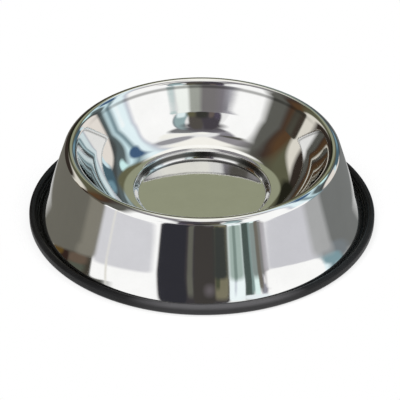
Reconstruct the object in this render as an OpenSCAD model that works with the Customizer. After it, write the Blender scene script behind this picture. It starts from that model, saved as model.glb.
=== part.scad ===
/* [Overall] */
// Outside diameter over the rubber ring
overall_d = 250; // [246:1:262]
// Height of the top of the rim above the table
overall_h = 60; // [55:0.5:70]

/* [Sheet] */
// Thickness of the steel sheet
sheet_t = 0.7; // [0.5:0.1:1]

/* [Rim] */
// Width from the outside of the ring in to the highest line of the rim
rim_inset = 31; // [28:0.5:36]
// Outside radius of the rolled rim
rim_roll_r = 5.5; // [4.4:0.1:6.4]

/* [Food bowl] */
// Height of the floor around the disc above the table
floor_h = 24; // [20:0.5:27]
// Width from the rim's highest line in to where the straight wall would meet the floor
wall_run = 24; // [20:0.5:28]
// Width from there in to the edge of the disc pressed into the floor
floor_run = 23.75; // [20:0.25:28]
// Width of the flat land between the disc's step and the sweep up into the wall
land_w = 1; // [0.9:0.1:3]
// Depth of the disc's edge below the floor
disc_drop = 4.5; // [3.5:0.1:6]
// Rise of the disc's middle above the disc's edge
disc_rise = 1; // [0.4:0.1:2]
// Width of the sloped step round the disc
step_w = 3.1; // [2.8:0.1:4]
// Inside radius of the two bends of the step
crease_r = 0.8; // [0.5:0.1:1.2]

/* [Skirt] */
// How far the skirt bulges outside a straight line, midway between the rim and the flare
skirt_bow = 0.1; // [0.1:0.1:0.8]
// Length of the lower half of the long flare, along the slope at which the sheet enters the rubber
flare_run = 13; // [11:0.1:14]
// Slope at which the sheet enters the rubber, from level
entry_deg = 57; // [54:1:60]
// Radius of the last bend, from the flare into the flange
foot_bend_r = 4.5; // [4:0.1:4.9]
// Width of the flange outside the foot of the flare
flange_w = 2.8; // [2.7:0.1:3.4]
// Height of the underside of the flange above the table
flange_h = 2.1; // [1.8:0.1:2.6]

/* [Rubber ring] */
// Thickness of rubber outside the edge of the flange
ring_cover = 2.6; // [2.5:0.1:3.4]
// Height of the bead at its crown
bead_h = 8.2; // [7.8:0.1:9]
// Width of the bead's crown, from the outside of the ring to where the bead slopes inwards
bead_w = 4.5; // [4.4:0.1:4.7]
// Radius of the bead's two shoulders
bead_r = 2.2; // [1.8:0.1:2.2]
// Radius of the ring's lower outside corner
heel_r = 3.2; // [2:0.1:3.6]
// Width from the outside of the ring in to the fine groove between the bead and the lip
groove_inset = 4.7; // [4.6:0.1:4.9]
// Width of the fine groove
groove_w = 0.8; // [0.6:0.1:1]
// Depth of the fine groove below the lip
groove_depth = 0.5; // [0.3:0.1:0.6]
// Rise of the lip above its tip, which lies against the flare
lip_rise = 0.8; // [0.7:0.1:1]
// Width of the ring inside the edge of the flange
toe_w = 9.6; // [8.5:0.1:11]
// Height of the ring's inner edge
toe_h = 2; // [1.6:0.1:2.2]
// Radius that rounds the small corners of the rubber
rubber_corner_r = 0.5; // [0.4:0.1:0.6]
// Number of tread grooves under the ring
tread_count = 3; // [2:1:4]
// Width of each tread groove
tread_w = 0.9; // [0.6:0.1:1.2]
// Depth of each tread groove
tread_depth = 0.5; // [0.3:0.1:0.8]

/* [Clearances] */
// Gap between the steel and the rubber that grips it
grip_gap = 0.2; // [0.15:0.05:0.3]
// Gap between the edge of the flange and the bottom of the slot
edge_gap = 0.5; // [0.3:0.1:0.8]

/* [Hidden] */

// How far a chord may lie inside its bend, fewest chords on a bend, facets round a turn
chord_slack = sheet_t / 24;
arc_least = 2;
round_fn = 120;

// Part of the half disc that its dome takes, of each half of the skirt, and of the flare
dome_share = 0.94;
bow_share = 0.7;
flare_share = 0.98;

// How far round the last bend the lip and the foot of the rubber reach
lip_reach_deg = 48;
foot_reach_deg = 34;

// Middle of the sheet, from which both of its faces are set off
half_t = sheet_t / 2;
floor_z = floor_h - half_t;
flange_z = flange_h + half_t;
rim_r = overall_d / 2 - rim_inset;
floor_r = rim_r - wall_run;
disc_r = floor_r - floor_run;
disc_edge_z = floor_z - disc_drop;
dome_turn_deg = atan(2 * disc_rise / disc_r);
dome_r = dome_share * disc_r / 2 / tan(dome_turn_deg / 2);
crease_mid_r = crease_r + half_t;

// Rolled rim: its centre, and the lines that leave it for the wall and the skirt
roll_r = rim_roll_r - half_t;
roll_c = [rim_r, overall_h - rim_roll_r];
wall_foot = [floor_r, floor_z];
flange_r = overall_d / 2 - ring_cover;
skirt_foot = [flange_r - flange_w, flange_z];
flare_corner = skirt_foot + flare_run * unit(180 - entry_deg);
skirt_middle = [(flare_corner[0] + roll_c[0] + roll_r) / 2 + skirt_bow, (flare_corner[1] + roll_c[1]) / 2];
wall_deg = heading(wall_foot, roll_c) + asin(roll_r / gap(wall_foot, roll_c));
skirt_deg = heading(skirt_middle, roll_c) - asin(roll_r / gap(skirt_middle, roll_c));
sweep_r = (floor_run - step_w - land_w) / tan(wall_deg / 2);
roll_half_deg = (wall_deg - skirt_deg) / 2 + 90;
roll_middle_deg = (wall_deg + skirt_deg) / 2;
rim_corner = roll_c + roll_r / cos(roll_half_deg) * unit(roll_middle_deg);
bow_turn_deg = abs(turn(rim_corner, skirt_middle, flare_corner));
bow_r = bow_share * gap(skirt_middle, flare_corner) / 2 / tan(bow_turn_deg / 2);
flare_turn_deg = abs(turn(skirt_middle, flare_corner, skirt_foot));
flare_r = flare_share * (flare_run - foot_bend_r * tan(entry_deg / 2)) / tan(flare_turn_deg / 2);

// Corners of the sheet from the axis to the edge of the flange, and the bend at each
sheet_path = [
  [0, disc_edge_z + disc_rise],
  [disc_r / 2, disc_edge_z + disc_rise],
  [disc_r, disc_edge_z],
  [disc_r + step_w, floor_z],
  wall_foot,
  rim_corner,
  skirt_middle,
  flare_corner,
  skirt_foot,
  [flange_r, flange_z]
];
sheet_bends = [0, dome_r, crease_mid_r, crease_mid_r, sweep_r, roll_r, bow_r, flare_r, foot_bend_r, 0];

// Centre of the last bend, which the rubber follows, and half the width of the slot
bend_c = skirt_foot + foot_bend_r * [tan(entry_deg / 2), 1];
grip = half_t + grip_gap;

// Ring: places across it, from the outside in
ring_r = overall_d / 2;
bead_in_r = ring_r - bead_w;
groove_r = ring_r - groove_inset;
lip_tip = bend_c + (foot_bend_r - grip) * unit(-90 - lip_reach_deg);
lip_h = lip_tip[1] + lip_rise;
lip_top_r = (groove_r - groove_w / 2 + lip_tip[0]) / 2;
slot_end_r = flange_r + edge_gap;
toe_r = flange_r - toe_w;
tread_from_r = toe_r + rubber_corner_r;
tread_to_r = ring_r - heel_r;
tread_pitch = (tread_to_r - tread_from_r) / (tread_count + 1);

function unit(deg) = [cos(deg), sin(deg)];
function gap(a, b) = norm(b - a);
function heading(a, b) = atan2(b[1] - a[1], b[0] - a[0]);
function half_turned(deg) = deg > 180 ? deg - 360 : (deg < -180 ? deg + 360 : deg);
function turn(a, b, c) = half_turned(heading(b, c) - heading(a, b));
function reversed(list) = [for (i = [len(list) - 1:-1:0]) list[i]];

// Points along an arc, both ends included
function arc(centre, r, from_deg, to_deg) =
  let (
    step_deg = 2 * acos(1 - min(chord_slack / r, 1)),
    steps = max(arc_least, ceil(abs(to_deg - from_deg) / step_deg))
  )
  [for (k = [0:steps]) centre + r * unit(from_deg + (to_deg - from_deg) * k / steps)];

// The bend that replaces corner b between its neighbours a and c
function bend(a, b, c, r) =
  let (
    turn_deg = turn(a, b, c),
    side = sign(turn_deg),
    way = heading(a, b),
    start = b - r * tan(abs(turn_deg) / 2) * unit(way),
    centre = start + side * r * unit(way + 90)
  )
  arc(centre, r, way - side * 90, way - side * 90 + turn_deg);

// An open path with each corner bent to its radius
function bent(path, radii) = [
  for (i = [0:len(path) - 1])
    each (radii[i] > 0 ? bend(path[i - 1], path[i], path[i + 1], radii[i]) : [path[i]])
];

// The same path set off to its left, with corners mitred
function set_off(path, d) = [
  for (i = [0:len(path) - 1])
    let (
      first = i == 0,
      last = i == len(path) - 1,
      way = first ? heading(path[0], path[1]) : heading(path[i - 1], path[i]),
      half_deg = first || last ? 0 : turn(path[i - 1], path[i], path[i + 1]) / 2
    )
    path[i] + d / cos(half_deg) * unit(way + half_deg + 90)
];

// Bend radii of a path set off to its left
function set_off_radii(path, radii, d) = [
  for (i = [0:len(path) - 1])
    radii[i] > 0 ? radii[i] - sign(turn(path[i - 1], path[i], path[i + 1])) * d : 0
];

// One face of the sheet, at a distance d to the left of its middle
function sheet_face(d) = bent(set_off(sheet_path, d), set_off_radii(sheet_path, sheet_bends, d));

// Tread grooves in the underside, from the inside out
function tread_points() = [
  for (i = [1:tread_count])
    let (middle = tread_from_r + i * tread_pitch)
    each [
      [middle - tread_w / 2, 0],
      [middle - tread_w / 4, tread_depth],
      [middle + tread_w / 4, tread_depth],
      [middle + tread_w / 2, 0]
    ]
];

// Slot that grips the flange: under side of the lip, slot end, upper side of the foot
function slot_points() = concat(
  arc(bend_c, foot_bend_r - grip, -90 - lip_reach_deg, -90),
  [[slot_end_r, flange_z + grip], [slot_end_r, flange_z - grip]],
  arc(bend_c, foot_bend_r + grip, -90, -90 - foot_reach_deg)
);

// Outside of the bead, from the heel over the crown and the fine groove to the lip
function bead_points() = bent(
  [
    [tread_to_r - tread_pitch / 4, 0],
    [ring_r, 0],
    [ring_r, bead_h],
    [bead_in_r, bead_h],
    [groove_r, lip_h - groove_depth],
    [lip_top_r, lip_h],
    lip_tip
  ],
  [0, heel_r, bead_r, bead_r, rubber_corner_r / 2, rubber_corner_r / 2, 0]
);

// Inner edge of the ring, from the foot's tip down to the table
function toe_points() =
  let (foot_tip = bend_c + (foot_bend_r + grip) * unit(-90 - foot_reach_deg))
  bent([foot_tip, [toe_r, toe_h], [toe_r, 0], [toe_r + 2 * rubber_corner_r, 0]],
    [0, rubber_corner_r, rubber_corner_r, 0]);

// One drawn sheet: disc, floor, wall, rolled rim, skirt and flange
module steel_bowl() {
  color("silver")
  rotate_extrude($fn = round_fn)
  polygon(concat(sheet_face(half_t), reversed(sheet_face(-half_t))));
}

// One moulded ring, with a slot that grips the flange
module rubber_ring() {
  color("dimgray")
  rotate_extrude($fn = round_fn)
  polygon(concat(
    slot_points(),
    [for (i = [1:len(toe_points()) - 1]) toe_points()[i]],
    tread_points(),
    [for (i = [0:len(bead_points()) - 2]) bead_points()[i]]
  ));
}

steel_bowl();
rubber_ring();
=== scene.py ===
import math
from collections import namedtuple

import bmesh
import bpy
from mathutils import Matrix, Vector

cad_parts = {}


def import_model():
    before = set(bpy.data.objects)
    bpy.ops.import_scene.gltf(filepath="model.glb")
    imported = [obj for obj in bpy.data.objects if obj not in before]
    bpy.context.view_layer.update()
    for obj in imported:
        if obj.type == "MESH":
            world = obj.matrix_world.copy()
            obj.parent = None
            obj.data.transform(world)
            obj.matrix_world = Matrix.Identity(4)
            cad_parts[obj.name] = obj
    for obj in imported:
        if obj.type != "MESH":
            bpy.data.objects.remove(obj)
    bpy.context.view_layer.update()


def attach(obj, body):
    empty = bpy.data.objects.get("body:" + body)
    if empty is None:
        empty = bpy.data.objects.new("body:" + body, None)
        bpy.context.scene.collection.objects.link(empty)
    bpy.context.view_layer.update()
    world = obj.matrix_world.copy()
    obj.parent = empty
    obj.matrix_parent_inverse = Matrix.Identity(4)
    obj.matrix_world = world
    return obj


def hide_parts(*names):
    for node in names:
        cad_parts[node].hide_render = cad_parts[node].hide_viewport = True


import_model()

MM = 0.001

# Sizes of the steel sheet, in millimetres, as the CAD model has them
OVERALL_R = 125.0
OVERALL_H = 60.0
SHEET_T = 0.7
RIM_R = 94.0
RIM_ROLL_R = 5.5
FLOOR_H = 24.0
WALL_RUN = 24.0
FLOOR_RUN = 23.75
LAND_W = 1.0
DISC_DROP = 4.5
DISC_RISE = 1.0
STEP_W = 3.1
CREASE_R = 0.8
SKIRT_BOW = 0.1
FLARE_RUN = 13.0
ENTRY_DEG = 57.0
FOOT_BEND_R = 4.5
FLANGE_W = 2.8
FLANGE_H = 2.1
DOME_SHARE = 0.94
BOW_SHARE = 0.7
FLARE_SHARE = 0.98

# Sizes of the rubber ring, in millimetres
# Its lip and its foot reach round the bend by angles, in degrees
RING_COVER = 2.6
BEAD_H = 8.2
BEAD_W = 4.5
BEAD_R = 2.2
HEEL_R = 3.2
GROOVE_INSET = 4.7
GROOVE_W = 0.8
GROOVE_DEPTH = 0.5
LIP_RISE = 0.8
LIP_REACH = 48.0
FOOT_REACH = 34.0
TOE_W = 9.6
TOE_H = 2.0
RUBBER_CORNER_R = 0.5
TREADS = 3
TREAD_W = 0.9
TREAD_FLOOR_W = TREAD_W / 2
TREAD_DEPTH = 0.5
GRIP_GAP = 0.2
EDGE_GAP = 0.5

# Fineness of the lathed meshes, with chords and steps in millimetres
TURN_FACETS = 256
SHOWN_CHORD = 0.003
HIDDEN_CHORD = 0.012
SHOWN_STEP = 1.6
HIDDEN_STEP = 5.0
STEEL_CREASE_DEG = 60.0
RUBBER_CREASE_DEG = 40.0

# Distances, in metres, within which points of a mesh are taken as one
LATHE_MERGE = 1e-6
WELD = 1e-7
SLIVER = 1e-8

# Camera, as fitted to the photograph: lengths in metres, angles in degrees
CAMERA_DISTANCE = 1.7
CAMERA_ELEVATION = 33.375
CAMERA_ROLL = 0.453
CAMERA_AIM = (-0.001418, 0.0, 0.013216)
CAMERA_REACH = 50.0
FOCAL_PIXELS = 2349.75
FRAME_PIXELS = 400
SENSOR_MM = 36.0


# Section of the bowl

DOWN_DEG = -90.0


def unit(deg):
    return Vector((math.cos(math.radians(deg)), math.sin(math.radians(deg))))


def heading(a, b):
    return math.degrees(math.atan2(b.y - a.y, b.x - a.x))


def turn(a, b, c):
    return (heading(b, c) - heading(a, b) + 180) % 360 - 180


def tangent_lean(start, centre, r):
    """Angle between the line to a circle's centre and the line that touches the circle."""
    return math.degrees(math.asin(r / (centre - start).length))


def arc(centre, r, start, end, chord):
    """Points along an arc, closer together where a chord would leave it by more."""
    step = 2 * math.degrees(math.acos(1 - min(chord / r, 1)))
    count = max(2, math.ceil(abs(end - start) / step))
    return [centre + r * unit(start + (end - start) * k / count) for k in range(count + 1)]


def bent(path, radii, chord):
    """The path with each corner bent to its radius."""
    out = []
    for i, (corner, r) in enumerate(zip(path, radii)):
        if not r:
            out.append(corner)
            continue
        deg = turn(path[i - 1], corner, path[i + 1])
        side = 1 if deg > 0 else -1
        way = heading(path[i - 1], corner)
        run = r * math.tan(math.radians(abs(deg) / 2))
        centre = corner - run * unit(way) + side * r * unit(way + 90)
        out += arc(centre, r, way - side * 90, way - side * 90 + deg, chord)
    return out


def set_off(path, radii, d):
    """The same path and bends, moved a distance d to the left."""
    moved, bends = [], []
    for i, (corner, r) in enumerate(zip(path, radii)):
        inner = 0 < i < len(path) - 1
        way = heading(path[i - 1], corner) if i else heading(path[0], path[1])
        half = turn(path[i - 1], corner, path[i + 1]) / 2 if inner else 0
        moved.append(corner + d / math.cos(math.radians(half)) * unit(way + half + 90))
        bends.append(r - math.copysign(d, half) if r and half > 0 else r + d if r else 0)
    return moved, bends


def filled(points, step):
    """The same line with its long straights cut into short ones."""
    out = [points[0]]
    for a, b in zip(points[:-1], points[1:]):
        count = max(1, math.ceil((b - a).length / step))
        out += [a.lerp(b, k / count) for k in range(1, count + 1)]
    return out


def sheet_middle():
    """Corners and bends of the middle of the sheet, from the axis to the edge of the flange."""
    half = SHEET_T / 2
    floor_z, flange_z = FLOOR_H - half, FLANGE_H + half
    floor_r = RIM_R - WALL_RUN
    disc_r = floor_r - FLOOR_RUN
    edge_z = floor_z - DISC_DROP
    roll = RIM_ROLL_R - half
    crown = Vector((RIM_R, OVERALL_H - RIM_ROLL_R))
    wall_foot = Vector((floor_r, floor_z))
    flange_r = OVERALL_R - RING_COVER
    skirt_foot = Vector((flange_r - FLANGE_W, flange_z))
    flare = skirt_foot + FLARE_RUN * unit(180 - ENTRY_DEG)
    skirt_mid = Vector(((flare.x + crown.x + roll) / 2 + SKIRT_BOW, (flare.y + crown.y) / 2))
    wall_deg = heading(wall_foot, crown) + tangent_lean(wall_foot, crown, roll)
    skirt_deg = heading(skirt_mid, crown) - tangent_lean(skirt_mid, crown, roll)
    over = math.radians((wall_deg - skirt_deg) / 2 + 90)
    rim_corner = crown + roll / math.cos(over) * unit((wall_deg + skirt_deg) / 2)
    dome_turn = math.atan(2 * DISC_RISE / disc_r)
    dome_r = DOME_SHARE * disc_r / 2 / math.tan(dome_turn / 2)
    bow_turn = math.radians(abs(turn(rim_corner, skirt_mid, flare)))
    bow_r = BOW_SHARE * (flare - skirt_mid).length / 2 / math.tan(bow_turn / 2)
    flare_turn = math.radians(abs(turn(skirt_mid, flare, skirt_foot)))
    bend_run = FOOT_BEND_R * math.tan(math.radians(ENTRY_DEG / 2))
    flare_r = FLARE_SHARE * (FLARE_RUN - bend_run) / math.tan(flare_turn / 2)
    sweep_r = (FLOOR_RUN - STEP_W - LAND_W) / math.tan(math.radians(wall_deg / 2))
    crease = CREASE_R + half
    path = [
        Vector((0, edge_z + DISC_RISE)), Vector((disc_r / 2, edge_z + DISC_RISE)),
        Vector((disc_r, edge_z)), Vector((disc_r + STEP_W, floor_z)),
        wall_foot, rim_corner, skirt_mid, flare, skirt_foot, Vector((flange_r, flange_z))]
    return path, [0, dome_r, crease, crease, sweep_r, roll, bow_r, flare_r, FOOT_BEND_R, 0]


def sheet_section():
    """Closed outline of the sheet: its shown face outwards, then its hidden face to the axis."""
    path, radii = sheet_middle()
    shown = filled(bent(*set_off(path, radii, SHEET_T / 2), SHOWN_CHORD), SHOWN_STEP)
    hidden = filled(bent(*set_off(path, radii, -SHEET_T / 2), HIDDEN_CHORD), HIDDEN_STEP)
    return shown + hidden[::-1]


def treads(first, pitch):
    """Grooves under the ring, each half as wide at its bottom as at its mouth."""
    out = []
    for i in range(1, TREADS + 1):
        mid = first + i * pitch
        out += [Vector((mid - TREAD_W / 2, 0)), Vector((mid - TREAD_FLOOR_W / 2, TREAD_DEPTH)),
                Vector((mid + TREAD_FLOOR_W / 2, TREAD_DEPTH)), Vector((mid + TREAD_W / 2, 0))]
    return out


def ring_section():
    """Closed outline of the rubber ring: slot, foot, treads, bead, fine groove and lip."""
    skirt_foot, flange_end = sheet_middle()[0][-2:]
    bend = skirt_foot + FOOT_BEND_R * Vector((math.tan(math.radians(ENTRY_DEG / 2)), 1))
    grip = SHEET_T / 2 + GRIP_GAP
    lip_deg, foot_deg = DOWN_DEG - LIP_REACH, DOWN_DEG - FOOT_REACH
    tip = bend + (FOOT_BEND_R - grip) * unit(lip_deg)
    foot_tip = bend + (FOOT_BEND_R + grip) * unit(foot_deg)
    slot_end = flange_end.x + EDGE_GAP
    slot = arc(bend, FOOT_BEND_R - grip, lip_deg, DOWN_DEG, HIDDEN_CHORD)
    slot += [Vector((slot_end, flange_end.y + grip)), Vector((slot_end, flange_end.y - grip))]
    slot += arc(bend, FOOT_BEND_R + grip, DOWN_DEG, foot_deg, HIDDEN_CHORD)
    toe = flange_end.x - TOE_W
    inner = bent(
        [foot_tip, Vector((toe, TOE_H)), Vector((toe, 0)), Vector((toe + 2 * RUBBER_CORNER_R, 0))],
        [0, RUBBER_CORNER_R, RUBBER_CORNER_R, 0], SHOWN_CHORD)[1:]
    first, last = toe + RUBBER_CORNER_R, OVERALL_R - HEEL_R
    pitch = (last - first) / (TREADS + 1)
    lip_h = tip.y + LIP_RISE
    groove = OVERALL_R - GROOVE_INSET
    lip_corner = Vector(((groove - GROOVE_W / 2 + tip.x) / 2, lip_h))
    lip_r = RUBBER_CORNER_R / 2
    bead = bent(
        [Vector((last - pitch / 4, 0)), Vector((OVERALL_R, 0)), Vector((OVERALL_R, BEAD_H)),
         Vector((OVERALL_R - BEAD_W, BEAD_H)), Vector((groove, lip_h - GROOVE_DEPTH)),
         lip_corner, tip],
        [0, HEEL_R, BEAD_R, BEAD_R, lip_r, lip_r, 0], SHOWN_CHORD)[:-1]
    return filled(slot + inner + treads(first, pitch) + bead, SHOWN_STEP)


# Node writing

class Wire:
    """A socket of a node tree that can be used in Python sums."""

    def __init__(self, write, socket):
        self.write = write
        self.socket = socket

    def maths(self, operation, *others):
        """One sum of this value and the others, in that order."""
        return self.write.maths(operation, self, *others)

    def __add__(self, other):
        return self.write.maths("ADD", self, other)

    def __radd__(self, other):
        return self.write.maths("ADD", other, self)

    def __sub__(self, other):
        return self.write.maths("SUBTRACT", self, other)

    def __rsub__(self, other):
        return self.write.maths("SUBTRACT", other, self)

    def __mul__(self, other):
        return self.write.maths("MULTIPLY", self, other)

    def __rmul__(self, other):
        return self.write.maths("MULTIPLY", other, self)

    def __truediv__(self, other):
        return self.write.maths("DIVIDE", self, other)

    def __rtruediv__(self, other):
        return self.write.maths("DIVIDE", other, self)

    def __pow__(self, other):
        return self.write.maths("POWER", self, other)

    def __abs__(self):
        return self.write.maths("ABSOLUTE", self)

    def clamped(self):
        """The same value, kept between 0 and 1."""
        return self.write.maths("ADD", self, 0.0, clamp=True)


def named(sockets, name):
    """The socket of that name that is in use."""
    return next(s for s in sockets if s.enabled and s.name.replace(" ", "_") == name)


class Tree:
    """Writes nodes into a tree in one call each."""

    def __init__(self, tree):
        self.tree = tree
        tree.nodes.clear()

    def put(self, socket, value):
        """Links a wire to the socket, or sets the socket's own value."""
        if isinstance(value, Wire):
            self.tree.links.new(value.socket, socket)
        elif socket.type == "RGBA" and len(value) == 3:
            socket.default_value = (*value, 1.0)
        else:
            socket.default_value = value

    def node(self, kind, settings=None, inputs=(), out=None, **sockets):
        """A node of that type: its settings first, then its sockets in order or by name.

        Gives its first output, the one named, or all those named.
        """
        node = self.tree.nodes.new(kind)
        for name, value in (settings or {}).items():
            setattr(node, name, value)
        for socket, value in zip(node.inputs, inputs):
            self.put(socket, value)
        for name, value in sockets.items():
            self.put(named(node.inputs, name), value)
        if isinstance(out, tuple):
            return [Wire(self, named(node.outputs, name)) for name in out]
        if out:
            return Wire(self, named(node.outputs, out))
        return Wire(self, node.outputs[0]) if node.outputs else node

    def maths(self, operation, *values, clamp=False):
        settings = {"operation": operation, "use_clamp": clamp}
        return self.node("ShaderNodeMath", settings, values)

    def blend(self, factor, a, b):
        """Colour a where the factor is 0, and b where it is 1."""
        settings = {"data_type": "RGBA"}
        return self.node("ShaderNodeMix", settings, out="Result", Factor=factor, A=a, B=b)

    def mixed(self, factor, a, b):
        """Shader a where the factor is 0, and b where it is 1."""
        return self.node("ShaderNodeMixShader", inputs=(factor, a, b))

    def parts(self, vector):
        """The three numbers of a vector."""
        return self.node("ShaderNodeSeparateXYZ", out=("X", "Y", "Z"), Vector=vector)

    def vector(self, x, y, z):
        return self.node("ShaderNodeCombineXYZ", X=x, Y=y, Z=z)


def shader(name):
    """A new material and the writer of its nodes."""
    material = bpy.data.materials.new(name)
    material.use_nodes = True
    return material, Tree(material.node_tree)


# Lathe

LATHE_INPUTS = {
    "Section": "NodeSocketGeometry",
    "Points_along": "NodeSocketInt",
    "Facets_round": "NodeSocketInt",
    "Merge_within": "NodeSocketFloat",
    "Material": "NodeSocketMaterial",
}


def lathe_tree():
    """Geometry nodes that turn a line of points about Z into a closed surface."""
    tree = bpy.data.node_groups.new("Lathe", "GeometryNodeTree")
    for name, kind in LATHE_INPUTS.items():
        tree.interface.new_socket(name, in_out="INPUT", socket_type=kind)
    tree.interface.new_socket("Turned", in_out="OUTPUT", socket_type="NodeSocketGeometry")
    write = Tree(tree)
    section, along, around, merge, material = write.node("NodeGroupInput", out=tuple(LATHE_INPUTS))
    grid = write.node("GeometryNodeMeshGrid", Vertices_X=around + 1, Vertices_Y=along)
    index = write.node("GeometryNodeInputIndex")
    column = (index / along).maths("FLOOR")
    place = index - column * along
    here = write.node("GeometryNodeInputPosition")
    at = write.node("GeometryNodeSampleIndex", {"data_type": "FLOAT_VECTOR", "domain": "POINT"},
                    Geometry=section, Value=here, Index=place)
    r, _, z = write.parts(at)
    angle = column / around * math.tau
    spot = write.vector(r * angle.maths("COSINE"), r * angle.maths("SINE"), z)
    moved = write.node("GeometryNodeSetPosition", Geometry=grid, Position=spot)
    merged = write.node("GeometryNodeMergeByDistance", Geometry=moved, Distance=merge)
    smooth = write.node("GeometryNodeSetShadeSmooth", Geometry=merged, Shade_Smooth=True)
    real = write.node("GeometryNodeRealizeInstances", Geometry=smooth)
    done = write.node("GeometryNodeSetMaterial", Geometry=real, Material=material)
    write.node("NodeGroupOutput", Turned=done)
    return tree


def placed(name, data):
    """A new object in the scene."""
    piece = bpy.data.objects.new(name, data)
    bpy.context.scene.collection.objects.link(piece)
    return piece


def turned(name, section, material, tree):
    """A closed section, in millimetres from the axis, turned about Z into a plain mesh."""
    line = bpy.data.meshes.new(name)
    points = [(p.x * MM, 0.0, p.y * MM) for p in section]
    points.append(points[0])
    line.from_pydata(points, [(i, i + 1) for i in range(len(points) - 1)], [])
    piece = placed(name, line)
    modifier = piece.modifiers.new("Lathe", "NODES")
    modifier.node_group = tree
    values = {"Points_along": len(points), "Facets_round": TURN_FACETS,
              "Merge_within": LATHE_MERGE, "Material": material}
    for item in tree.interface.items_tree:
        if item.name in values:
            modifier[item.identifier] = values[item.name]
    seen = piece.evaluated_get(bpy.context.evaluated_depsgraph_get())
    mesh = bpy.data.meshes.new_from_object(seen)
    piece.modifiers.remove(modifier)
    piece.data = mesh
    bpy.data.meshes.remove(line)
    return piece


def outward(piece):
    """Merges what touches and turns every face outwards."""
    mesh = bmesh.new()
    mesh.from_mesh(piece.data)
    bmesh.ops.remove_doubles(mesh, verts=mesh.verts, dist=WELD)
    bmesh.ops.dissolve_degenerate(mesh, edges=mesh.edges, dist=SLIVER)
    bmesh.ops.recalc_face_normals(mesh, faces=mesh.faces)
    if mesh.calc_volume(signed=True) < 0:
        bmesh.ops.reverse_faces(mesh, faces=mesh.faces)
    mesh.to_mesh(piece.data)
    mesh.free()


def keep_edges(piece, deg):
    """Smooth shading, with creases sharper than the angle kept crisp."""
    piece.data.shade_smooth()
    mesh = bmesh.new()
    mesh.from_mesh(piece.data)
    for edge in mesh.edges:
        edge.smooth = len(edge.link_faces) == 2 and edge.calc_face_angle() < math.radians(deg)
    mesh.to_mesh(piece.data)
    mesh.free()


# Lines and slopes that the finishes are drawn with

Line = namedtuple("Line", "middle half_width reach")
Rise = namedtuple("Rise", "start run")


def drawn(value, line):
    """1 along the line's middle, down to 0 at its reach, which counts half widths."""
    return (line.reach - abs(value - line.middle) / line.half_width).clamped()


def risen(value, rise):
    """0 up to the start, then up to 1 over the run."""
    return ((value - rise.start) / rise.run).clamped()


# Finish of the steel, in metres

NOISE_MEAN = 0.5
STEEL_COLOUR = (0.82, 0.82, 0.812)
STEEL_SHADE = (0.76, 0.76, 0.75)
STEEL_ROUGH = 0.045
POLISH_RINGS = {"Scale": 1400.0, "Detail": 2.0}
POLISH_BUMP = {"Strength": 0.05, "Distance": 0.00004}
POLISH_ROUGH = 0.02
SHEET_WAVES = {"Scale": 34.0, "Detail": 1.0}
WAVE_BUMP = {"Strength": 1.0, "Distance": 0.00006}
WIPE_MARKS = {"Scale": 60.0, "Detail": 5.0, "Roughness": 0.65}
WIPE_ROUGH = 0.03
WIPE_GAIN = 1.6
WIPE_DROP = 0.4
# Painted shade: a dark colour laid in the step round the disc and in a line under the rim, on the
# back half only
PAINTED_SHADE_COLOUR = (0.05, 0.05, 0.045)
SHADED_STEP_ROUGH = 0.2
STEP_SHADE_LINE = Line(0.0479, 0.0009, 1.7)
STEP_SHADE_BACK = Rise(0.0, 0.02)
STEP_SHADE_COVER = 0.95
RIM_SHADE_LINE = Line(0.0886, 0.0006, 1.4)
RIM_SHADE_BACK = Rise(0.03, 0.04)
RIM_SHADE_COVER = 0.6


def polished_steel():
    """Mirror polished sheet: rings left by the polishing wheel, slight waves, and wiping marks.

    On its back half, painted shade darkens the step round the disc and a line under the rim, and
    the step is also duller.
    """
    material, write = shader("polished_steel")
    place = write.node("ShaderNodeTexCoord", out="Object")
    x, y, z = write.parts(place)
    radius = (x * x + y * y) ** 0.5
    rings = write.node("ShaderNodeTexNoise", {"noise_dimensions": "2D"},
                       Vector=write.vector(radius, z, 0.0), **POLISH_RINGS)
    waves = write.node("ShaderNodeTexNoise", Vector=place, **SHEET_WAVES)
    wiped = write.node("ShaderNodeTexNoise", Vector=place, **WIPE_MARKS)
    # Painted shade in the step round the disc and in a line under the rim; the step mask also makes
    # the steel duller there
    step = drawn(radius, STEP_SHADE_LINE) * risen(y, STEP_SHADE_BACK)
    rim_shade = drawn(radius, RIM_SHADE_LINE) * risen(y, RIM_SHADE_BACK)
    rough = (STEEL_ROUGH + WIPE_ROUGH * (wiped - NOISE_MEAN) + POLISH_ROUGH * (rings - NOISE_MEAN)
             + SHADED_STEP_ROUGH * step)
    fine = write.node("ShaderNodeBump", Height=rings, **POLISH_BUMP)
    bump = write.node("ShaderNodeBump", Height=waves, Normal=fine, **WAVE_BUMP)
    sheet = write.blend((wiped * WIPE_GAIN - WIPE_DROP).clamped(), STEEL_SHADE, STEEL_COLOUR)
    # Painted shade: the sheet's colour darkened in the step and under the rim
    colour = write.blend(step * STEP_SHADE_COVER + rim_shade * RIM_SHADE_COVER, sheet, PAINTED_SHADE_COLOUR)
    body = write.node("ShaderNodeBsdfPrincipled", Base_Color=colour, Metallic=1.0, Roughness=rough,
                      Normal=bump)
    write.node("ShaderNodeOutputMaterial", Surface=body)
    return material


# Finish of the rubber, in metres

RUBBER_COLOUR = (0.006, 0.006, 0.0065)
RUBBER_DUST = (0.03, 0.03, 0.031)
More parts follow.
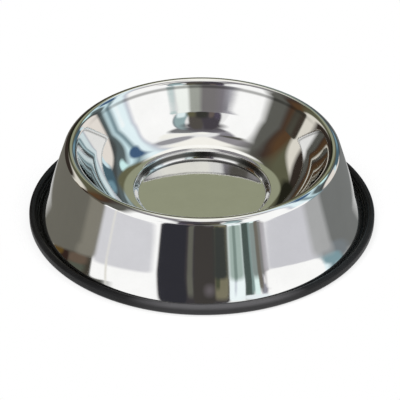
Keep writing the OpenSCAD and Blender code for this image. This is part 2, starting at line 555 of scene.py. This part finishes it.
# Painted highlight: a paler colour on the front and upper side of the ring, standing in for sheen
RUBBER_PAINTED_SHEEN = (0.084, 0.082, 0.086)
RUBBER_ROUGH = 0.42
RUBBER_GLOSS = 0.2
RUBBER_GRAIN = {"Scale": 2600.0, "Detail": 3.0}
GRAIN_BUMP = {"Strength": 0.35, "Distance": 0.00006}
GRAIN_ROUGH = 0.1
RUBBER_CLOUD = {"Scale": 55.0, "Detail": 4.0}
CLOUD_ROUGH = 0.18
PARTING_LINE = Line(0.0046, 0.00012, 1.0)
PARTING_BUMP = {"Strength": 0.5, "Distance": 0.00008}
DUST_TOP = 0.003
DUST_LOW = 0.35
DUST_CLOUD = 0.5
DUST_START = 0.45
SHEEN_FRONT = Rise(0.108, 0.0125)
SHEEN_LEAN = 0.1
SHEEN_UPPER = Rise(0.005, 0.002)
SHEEN_LOW = 0.32
SHEEN_EVEN = 0.7
SHEEN_CLOUD = 0.6


def black_rubber():
    """Satin moulded rubber: a fine grain, a parting line, dust low down, and a painted pale sheen
    on its front and upper side.
    """
    material, write = shader("black_rubber")
    place = write.node("ShaderNodeTexCoord", out="Object")
    x, y, z = write.parts(place)
    grain = write.node("ShaderNodeTexNoise", Vector=place, **RUBBER_GRAIN)
    cloud = write.node("ShaderNodeTexNoise", Vector=place, **RUBBER_CLOUD)
    low = (1.0 - z / DUST_TOP).clamped()
    dust = (low * DUST_LOW + (cloud - DUST_START) * DUST_CLOUD).clamped()
    # Painted highlight on the front of the ring, strongest on its upper side
    front = risen(x * SHEEN_LEAN - y, SHEEN_FRONT)
    height = SHEEN_LOW + (1 - SHEEN_LOW) * risen(z, SHEEN_UPPER)
    painted_sheen = front * height * (SHEEN_EVEN + SHEEN_CLOUD * cloud).clamped()
    colour = write.blend(painted_sheen, write.blend(dust, RUBBER_COLOUR, RUBBER_DUST), RUBBER_PAINTED_SHEEN)
    rough = RUBBER_ROUGH + CLOUD_ROUGH * (cloud - NOISE_MEAN) + GRAIN_ROUGH * (grain - NOISE_MEAN)
    seam = write.node("ShaderNodeBump", Height=drawn(z, PARTING_LINE), **PARTING_BUMP)
    bump = write.node("ShaderNodeBump", Height=grain, Normal=seam, **GRAIN_BUMP)
    body = write.node("ShaderNodeBsdfPrincipled", Base_Color=colour, Roughness=rough, Normal=bump,
                      Specular_IOR_Level=RUBBER_GLOSS)
    write.node("ShaderNodeOutputMaterial", Surface=body)
    return material


# Room that the steel mirrors, in metres and degrees

WHITE = (1.0, 1.0, 1.0)
DEGREES = 180 / math.pi
HALF_TURN = 180.0
ROOM_RADIUS = 8.0
ROOM_FACETS = 96

# Share of the light that the steel gives back, and a card's mask on its own outline
STEEL_MEAN = 0.80
EDGE_MIDDLE = 0.5

# A card has the azimuth and elevation of its middle, half its width and half its height.
# Then come how square its corners are, how soft its edge is and how far it leans,
# and last the screen colour, from 0 to 255, that the steel shows it in.
Card = namedtuple("Card", "name az el wide high corner soft lean seen")
CARDS = [
    Card("overhead softbox", 0, 95, 200, 8.6, 8, 0.3, 0, (245, 244, 238)),
    Card("softbox on the left", -80, 30, 52, 49, 6, 0.08, 0, (250, 250, 250)),
    Card("softbox on the right", 80, 26, 48, 45, 6, 0.1, 0, (250, 250, 250)),
    Card("overhead grey", -8, 79, 70, 7, 4, 0.35, 0, (106, 103, 109)),
    Card("overhead grey, left end", -112, 77.5, 46, 4.5, 3, 0.6, 0, (132, 129, 137)),
    Card("overhead grey, right end", 56, 76, 25, 9, 3, 0.4, 0, (116, 117, 119)),
    Card("overhead grey behind, left", -148, 69, 26, 11, 3, 0.5, 0, (144, 141, 146)),
    Card("overhead grey behind, right", 146, 71, 18, 11, 3, 0.5, 0, (150, 149, 154)),
    Card("overhead grey behind, dark end", -117, 74, 11, 6.5, 3, 0.7, 0, (86, 84, 79)),
    Card("overhead cream", 104, 79, 20, 12, 4, 0.3, 0, (242, 241, 235)),
    Card("cream panel behind", 180, 62, 17, 19, 4, 0.35, 0, (243, 241, 235)),
    Card("grey panel on the right", 133, 20, 60, 42.5, 2, 0.08, 0, (188, 192, 204)),
    Card("pale pane on the right", 133, 20, 56.5, 40, 2, 0.08, 0, (226, 242, 247)),
    Card("slate edge on the right", 136, 18, 45, 36, 2.2, 0.1, 0, (124, 146, 154)),
    Card("second pale pane", 137, 17, 40, 33, 2.2, 0.12, 0, (208, 234, 241)),
    Card("blue strip on the right", 138, 51, 21, 4, 2.4, 0.5, 0, (66, 92, 124)),
    Card("grey pane on the right", 137, 15, 37, 30, 2.4, 0.14, 0, (86, 97, 99)),
    Card("pale slit", 152, 40, 14, 2.4, 2.4, 0.6, 0.3, (202, 236, 236)),
    Card("dark panel on the right", 136, 12, 31, 22.5, 2.6, 0.14, 0, (70, 74, 74)),
    Card("cream post on the right", 126, 12, 18, 19, 2.2, 0.2, 0.4, (225, 218, 211)),
    Card("blue patch", 147, 19, 13, 10, 3, 0.3, 0.3, (72, 96, 108)),
    Card("blue patch, pale line", 133, 17, 2.4, 9, 3, 0.6, 0.7, (200, 222, 230)),
    Card("blue patch, light end", 157, 19, 5, 6, 3, 0.6, 0.2, (108, 140, 154)),
    Card("olive end on the right", 168, 36, 11, 7, 3, 0.5, 0, (98, 97, 74)),
    Card("grey panel on the left", -124, 20, 60, 45, 2.4, 0.16, 0, (90, 90, 85)),
    Card("brown panel, dark edge", -132, 18, 48, 39, 2.4, 0.14, 0, (58, 48, 44)),
    Card("brown panel", -130, 17, 42, 35, 2.4, 0.24, 0, (84, 62, 42)),
    Card("olive panel on the left", -145, 14, 42, 34, 2.2, 0.22, 0, (88, 88, 69)),
    Card("cream post on the left", -132, 8, 30, 28.5, 2.1, 0.18, 0, (216, 212, 202)),
    Card("dark panel on the left", -146, 6, 28, 24, 2.1, 0.22, 0, (48, 41, 36)),
    Card("dark panel on the left, black end", -164, 24, 8, 9, 2.4, 0.5, 0, (32, 32, 24)),
    Card("sage panel behind", 180, 34, 10.5, 5.5, 3, 0.3, 0, (142, 145, 122)),
    Card("cream panel behind, foot", 180, 47, 8, 7, 3, 0.35, 0, (250, 249, 245)),
    Card("flag, wide top", -2, 78, 48, 7, 3, 0.5, 0, (92, 89, 94)),
    Card("grey pane edge", 36, 52, 4.5, 20, 4, 0.5, 0.6, (124, 134, 140)),
    Card("teal pane", 30, 52, 8, 20, 5, 0.45, 0.55, (146, 168, 170)),
    Card("pale pane in the middle", 23.5, 36, 5, 8, 4, 0.6, 0.3, (226, 240, 242)),
    Card("flag, shoulders", -2, 69, 38, 10, 2.6, 0.5, 0, (84, 81, 85)),
    Card("flag shaft, right side", 8, 55, 12, 23, 8, 0.3, 0.25, (80, 76, 72)),
    Card("flag shaft, left side", -12, 55, 13, 23, 8, 0.3, -0.22, (68, 64, 70)),
    Card("flag shaft, violet edge", -17, 40, 3.5, 10, 3, 0.8, -0.2, (78, 72, 86)),
    Card("flag shaft, dark middle", 1, 38, 7.5, 11, 4, 0.7, 0, (54, 54, 50)),
    Card("flag shaft, brown streak", -10, 38, 2.8, 9, 3, 0.7, 0, (98, 88, 84)),
    Card("flag shaft, olive side", 13, 37, 4.5, 8, 3, 0.9, 0, (92, 90, 68)),
    Card("band, pale", -2, 30.6, 32, 2.5, 4, 0.35, 0, (160, 159, 166)),
    Card("band, violet", -11, 30.6, 12, 2.5, 3, 0.6, 0, (122, 118, 124)),
    Card("band, grey", -2, 30.6, 13, 2.5, 4, 0.6, 0, (116, 113, 114)),
    Card("band, sage", 9, 30.6, 7, 2.5, 3, 0.7, 0, (158, 161, 154)),
    Card("band, pane", 20.5, 30.6, 7, 2.5, 3, 0.5, 0, (240, 244, 240)),
    Card("band, bar", 31, 30.6, 3.6, 2.5, 3, 0.6, 0, (186, 202, 202)),
    Card("flag", -5.5, 6, 24.5, 22.5, 10, 0.07, 0.06, (60, 57, 60)),
    Card("flag, blue side", -20, 6, 9, 22.5, 8, 0.09, 0.08, (47, 47, 53)),
    Card("flag, pale streak", -7.5, 9, 1.9, 12, 5, 0.6, 0.05, (98, 98, 90)),
    Card("flag, grey middle", 2.5, 6, 7.5, 22.5, 8, 0.14, 0, (62, 59, 57)),
    Card("flag, pale patch", 5.5, 15, 3, 5, 2.2, 1.4, 0, (98, 93, 96)),
    Card("flag, khaki side", 13.8, 11, 4.4, 13, 5, 0.4, 0, (120, 116, 96)),
    Card("flag, dark green line", 11, 5, 1.4, 9, 4, 0.6, 0, (74, 78, 62)),
    Card("bright pane", 24.5, 11, 5.6, 15, 8, 0.12, 0, (238, 248, 250)),
    Card("bright pane, line", 23, 10, 0.8, 10, 4, 0.7, 0, (205, 212, 220)),
    Card("bright pane, low end", 24, -3, 5.4, 8.5, 3, 0.6, 0, (160, 177, 171)),
    Card("bright pane, line at the low end", 23.3, -2, 1.1, 8, 4, 0.7, 0, (120, 137, 131)),
    Card("flag, low end on the right", 13, -4, 5, 8, 3, 0.5, 0, (58, 61, 59)),
    Card("bar, dark", 32, 9.5, 2.8, 16, 8, 0.25, 0.02, (72, 84, 80)),
    Card("bar, sea green", 35.3, 6, 1.6, 14, 6, 0.5, 0, (128, 148, 146)),
    Card("second bright pane", 37.6, 11, 1.9, 13, 6, 0.5, 0.03, (222, 242, 240)),
    Card("second bright pane, low end", 37.2, -3, 2.4, 8, 3, 0.7, 0, (134, 145, 143)),
    Card("bars, low end", 42.8, -3, 2.6, 8, 3, 0.8, 0, (124, 125, 124)),
    Card("bar, slate", 42.6, 13, 2.2, 9, 4, 0.5, 0, (140, 140, 150)),
    Card("bar, brown", 40.2, 6, 1.4, 11, 5, 0.5, 0.05, (108, 104, 96)),
    Card("bar, pale sliver", 43, 8, 0.7, 3.5, 3, 0.8, 0, (228, 226, 226)),
    Card("bar, last", 45, 4, 1.8, 11, 5, 0.6, 0.04, (158, 154, 158)),
    Card("bright panes, top", 37, 23, 9, 2, 4, 0.5, 0, (232, 240, 244)),
    Card("low white on the left", -56, 5, 22.5, 10, 8, 0.08, 0.05, (250, 250, 250)),
    Card("screen low on the left", -56, -16, 23, 17.5, 8, 0.14, 0, (208, 208, 213)),
    Card("screen low on the right", 66, -16, 22, 16, 8, 0.18, 0, (200, 200, 206)),
    Card("low white on the right", 66, 8, 22, 9, 8, 0.1, 0, (250, 250, 250)),
    Card("thin post on the left", -66.5, 6, 0.9, 12, 6, 0.9, 0.12, (224, 222, 216)),
    Card("left side, dark", -92, 6, 13.5, 9, 5, 0.14, 0.1, (66, 62, 54)),
    Card("left side, sage", -90, 9, 7, 4, 3, 0.6, 0, (82, 86, 76)),
    Card("left side, brown patch", -90, 2.5, 8, 4, 3, 0.5, 0, (98, 84, 72)),
    Card("left side, maroon line", -101, 5, 3.5, 6, 3, 0.5, 0.15, (48, 34, 30)),
    Card("left side, mustard", -108.5, 0, 5, 3.5, 3, 0.5, 0.2, (90, 70, 34)),
    Card("low board on the left", -132, -42, 54, 41, 8, 0.05, 0, (103, 101, 93)),
    Card("low board on the left, light end", -86, -6, 8, 5, 3, 0.6, 0, (126, 123, 113)),
    Card("low board on the right", 138, -40, 44, 40, 7, 0.12, 0, (112, 114, 113)),
    Card("right side, slate", 100, -3, 13, 6, 3, 0.5, 0, (118, 124, 128)),
    Card("right side, teal", 96, 2, 8, 4, 3, 0.5, 0, (124, 152, 160)),
    Card("low board on the right, pale end", 91, -14, 9, 12, 4, 0.6, 0, (166, 167, 168)),
]


def card_mask(azimuth, elevation, card):
    """1 inside the card, 0 outside, with a soft edge."""
    across = azimuth - card.az - (elevation - card.el) * card.lean
    across = abs(across.maths("WRAP", HALF_TURN, -HALF_TURN)) / card.wide
    up = abs(elevation - card.el) / card.high
    size = (across ** card.corner + up ** card.corner) ** (1.0 / card.corner)
    return ((1.0 - size) / card.soft + EDGE_MIDDLE).clamped()


def linear(level):
    """The light that a screen shows for a level from 0 to 255, by the usual screen curve."""
    level /= 255.0
    return level / 12.92 if level <= 0.04045 else ((level + 0.055) / 1.055) ** 2.4


def room_material():
    """Cards laid over one another, in order, with only the world's own white between them."""
    material, write = shader("room")
    place = write.node("ShaderNodeTexCoord", out="Object")
    way = write.node("ShaderNodeVectorMath", {"operation": "NORMALIZE"}, Vector=place)
    x, y, z = write.parts(way)
    azimuth = x.maths("ARCTAN2", 0.0 - y) * DEGREES
    elevation = z.maths("ARCSINE") * DEGREES
    colour, bare = WHITE, 1.0
    for card in CARDS:
        mask = card_mask(azimuth, elevation, card)
        tone = tuple(linear(level) / STEEL_MEAN for level in card.seen)
        colour = write.blend(mask, colour, tone)
        bare = bare * (1.0 - mask)
    glow = write.node("ShaderNodeEmission", Color=colour, Strength=1.0)
    clear = write.node("ShaderNodeBsdfTransparent")
    write.node("ShaderNodeOutputMaterial", Surface=write.mixed(bare, glow, clear))
    return material


def sheet_of(name, shape, material):
    """A new object of that shape and material, for the stage."""
    mesh = bpy.data.meshes.new(name)
    shape.to_mesh(mesh)
    shape.free()
    mesh.materials.append(material)
    return placed(name, mesh)


def room():
    """A ball that carries the cards round the bowl; like lamps, they show only in mirrors."""
    ball = bmesh.new()
    bmesh.ops.create_uvsphere(ball, u_segments=ROOM_FACETS, v_segments=ROOM_FACETS // 2,
                              radius=ROOM_RADIUS)
    piece = sheet_of("room", ball, room_material())
    piece.data.shade_smooth()
    for ray in ("camera", "diffuse", "transmission", "volume_scatter", "shadow"):
        setattr(piece, "visible_" + ray, False)


# Stage and light, in metres and watts

Lamp = namedtuple("Lamp", "name place size power")
FLOOR_R = 0.147
FLOOR_FADE = 0.021
FLOOR_FACETS = 96
FLOOR_COLOUR = (0.9, 0.9, 0.9)
FLOOR_GLOW = 0.72
WORLD_LEVEL = 0.55
LAMPS = [
    Lamp("key", (-0.8, -0.9, 1.6), 1.2, 26.0),
    Lamp("fill", (1.2, -0.3, 1.3), 1.4, 15.6),
]


def shown_ray(write):
    """1 for rays from the camera, in mirrors and through glass, and 0 for the light itself."""
    direct, glossy, through = write.node(
        "ShaderNodeLightPath", out=("Is_Camera_Ray", "Is_Glossy_Ray", "Is_Transmission_Ray"))
    return (direct + glossy + through).clamped()


def world():
    """White behind the bowl, and a plain level of light."""
    scene_world = bpy.data.worlds.new("plain")
    scene_world.use_nodes = True
    bpy.context.scene.world = scene_world
    write = Tree(scene_world.node_tree)
    strength = WORLD_LEVEL + (1 - WORLD_LEVEL) * shown_ray(write)
    back = write.node("ShaderNodeBackground", Color=WHITE, Strength=strength)
    write.node("ShaderNodeOutputWorld", Surface=back)


def floor_material():
    """Pale and matt, fading to nothing at the sheet's edge, and from below clear near that edge."""
    material, write = shader("floor")
    x, y, _ = write.parts(write.node("ShaderNodeTexCoord", out="Object"))
    edge = ((x * x + y * y) ** 0.5 - (FLOOR_R - FLOOR_FADE)) / FLOOR_FADE
    below = write.node("ShaderNodeNewGeometry", out="Backfacing")
    matt = write.node("ShaderNodeBsdfDiffuse", Color=FLOOR_COLOUR)
    white = write.node("ShaderNodeEmission", Color=WHITE, Strength=1.0)
    sheet = write.mixed(FLOOR_GLOW * shown_ray(write), matt, white)
    clear = write.node("ShaderNodeBsdfTransparent")
    surface = write.mixed((edge + below).clamped(), sheet, clear)
    write.node("ShaderNodeOutputMaterial", Surface=surface)
    return material


def floor():
    """Pale round sheet under the bowl, which keeps its shadow and fades into the white."""
    disc = bmesh.new()
    bmesh.ops.create_circle(disc, cap_ends=True, segments=FLOOR_FACETS, radius=FLOOR_R)
    piece = sheet_of("floor", disc, floor_material())


def hang(lamp):
    """A soft square lamp that faces the bowl and doesn't show in the steel."""
    light = bpy.data.lights.new(lamp.name, "AREA")
    light.shape = "SQUARE"
    light.size = lamp.size
    light.energy = lamp.power
    piece = placed(lamp.name, light)
    piece.location = lamp.place
    piece.rotation_mode = "QUATERNION"
    piece.rotation_quaternion = (-Vector(lamp.place)).to_track_quat("-Z", "Y")
    piece.visible_glossy = False


def camera():
    """Camera at the photograph's angle, with its slight roll."""
    tilt, roll = math.radians(CAMERA_ELEVATION), math.radians(CAMERA_ROLL)
    back = Vector((0, -math.cos(tilt), math.sin(tilt)))
    level = Vector((1, 0, 0))
    rise = back.cross(level)
    right = level * math.cos(roll) + rise * math.sin(roll)
    up = rise * math.cos(roll) - level * math.sin(roll)
    data = bpy.data.cameras.new("camera")
    data.sensor_width = SENSOR_MM
    data.lens = FOCAL_PIXELS * SENSOR_MM / FRAME_PIXELS
    data.clip_end = CAMERA_REACH
    place = Matrix((right, up, back)).transposed().to_4x4()
    place.translation = Vector(CAMERA_AIM) + back * CAMERA_DISTANCE
    piece = placed("camera", data)
    piece.matrix_world = place
    bpy.context.scene.camera = piece


def settle(piece, node):
    """Puts a finished piece in a CAD node's place."""
    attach(piece, "root")
    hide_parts(node)


def build():
    camera()
    tree = lathe_tree()
    bowl = turned("bowl_sheet", sheet_section(), polished_steel(), tree)
    ring = turned("foot_ring", ring_section(), black_rubber(), tree)
    for piece, deg in ((bowl, STEEL_CREASE_DEG), (ring, RUBBER_CREASE_DEG)):
        outward(piece)
        keep_edges(piece, deg)
    settle(bowl, "steel_bowl")
    settle(ring, "rubber_ring")
    world()
    floor()
    room()
    for lamp in LAMPS:
        hang(lamp)
    bpy.context.scene.view_settings.view_transform = "Standard"


build()
